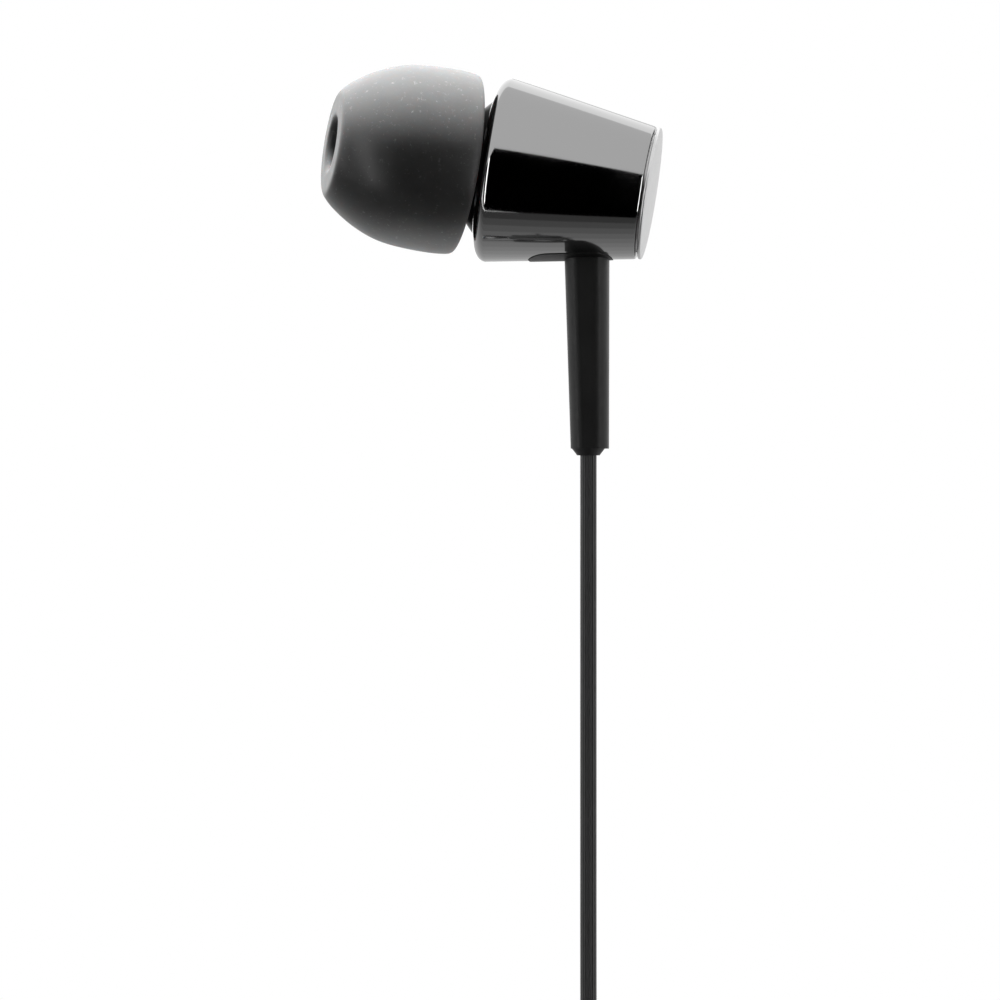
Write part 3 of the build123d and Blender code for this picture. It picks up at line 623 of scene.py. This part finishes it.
def long_card(name, edges, strength):
    """A card from side to side between two edges, each a depth and a height."""
    (near_y, near_z), (far_y, far_z) = edges
    corners = [(-CARD_REACH, near_y, near_z), (CARD_REACH, near_y, near_z), (CARD_REACH, far_y, far_z),
               (-CARD_REACH, far_y, far_z)]
    card(name, corners, glow(name.replace("card", "glow"), WHITE, strength))


long_card("grey_ceiling", ceiling_edges, 0.9)

UNDER_DISTANCE = 0.25
UNDER_START = -54             # degrees below level, in front, where the row starts
UNDER_STEP = 10
for step in range(12):
    angle = UNDER_START - UNDER_STEP * step
    edges = [(LOOK_AT.y - UNDER_DISTANCE * cos(radians(a)), UNDER_DISTANCE * sin(radians(a)))
             for a in (angle, angle - UNDER_STEP)]
    long_card(f"under_card_{step}", edges, 0.07 + 0.055 * step)

FLOOR_GAP = 0.002
floor_z = cad_box[0][2] - FLOOR_GAP
work = bmesh.new()
bmesh.ops.create_circle(work, cap_ends=True, radius=0.8, segments=96,
                        matrix=Matrix.Translation((LOOK_AT.x, LOOK_AT.y, floor_z)))
floor_mesh = bpy.data.meshes.new("floor")
work.to_mesh(floor_mesh)
work.free()
pale, tree, shader = new_material("pale_floor", Base_Color=linear("#EDEDED"), Roughness=0.8)
floor_mesh.materials.append(pale)
floor = bpy.data.objects.new("floor", floor_mesh)
bpy.context.scene.collection.objects.link(floor)
floor.visible_glossy = floor.visible_diffuse = False

# The room is plain white to the eye. Diffuse surfaces get little of its light, and reflections get more.
world = bpy.data.worlds.new("white_room")
bpy.context.scene.world = world
world.use_nodes = True
tree = world.node_tree
tree.nodes.clear()
ray = add_node(tree, "ShaderNodeLightPath")
seen, felt, mirrored = [
    add_node(tree, "ShaderNodeBackground", {"Color": linear(WHITE), "Strength": strength})
    for strength in (1.0, 0.11, 1.4)
]
bounced = add_node(tree, "ShaderNodeMixShader", None,
                   {0: ray.outputs["Is Glossy Ray"], 1: felt.outputs[0], 2: mirrored.outputs[0]})
all_rays = add_node(tree, "ShaderNodeMixShader", None,
                    {0: ray.outputs["Is Camera Ray"], 1: bounced.outputs[0], 2: seen.outputs[0]})
add_node(tree, "ShaderNodeOutputWorld", None, {"Surface": all_rays.outputs[0]})

key_light = bpy.data.lights.new("key", "AREA")
key_light.shape = "RECTANGLE"
key_light.size, key_light.size_y = 0.3, 0.25
key_light.energy = 24.0
key = bpy.data.objects.new("key", key_light)
key.location = (LOOK_AT.x - 0.06, LOOK_AT.y + 0.11, 0.5)
key.rotation_euler = (-key.location).to_track_quat("-Z", "Y").to_euler()
key.visible_glossy = False
bpy.context.scene.collection.objects.link(key)

rim_light = bpy.data.lights.new("rim", "AREA")
rim_light.size, rim_light.energy = 0.2, 1.2
rim = bpy.data.objects.new("rim", rim_light)
rim.location = (LOOK_AT.x, LOOK_AT.y + 0.12, -0.15)
rim.rotation_euler = (-rim.location).to_track_quat("-Z", "Y").to_euler()
rim.visible_glossy = rim.visible_camera = False
bpy.context.scene.collection.objects.link(rim)

SENSOR_WIDTH = 36
camera_data = bpy.data.cameras.new("camera")
camera_data.sensor_width = SENSOR_WIDTH
camera_data.lens = SENSOR_WIDTH * EYE_DISTANCE / VIEW_WIDTH
camera_data.clip_start = 0.01
camera = bpy.data.objects.new("camera", camera_data)
camera.location = room_point(0, LOOK_AT.z, EYE_DISTANCE)
camera.rotation_euler = (pi / 2, 0, EYE_AZIMUTH)
bpy.context.scene.collection.objects.link(camera)
bpy.context.scene.camera = camera
bpy.context.scene.view_settings.view_transform = "Standard"
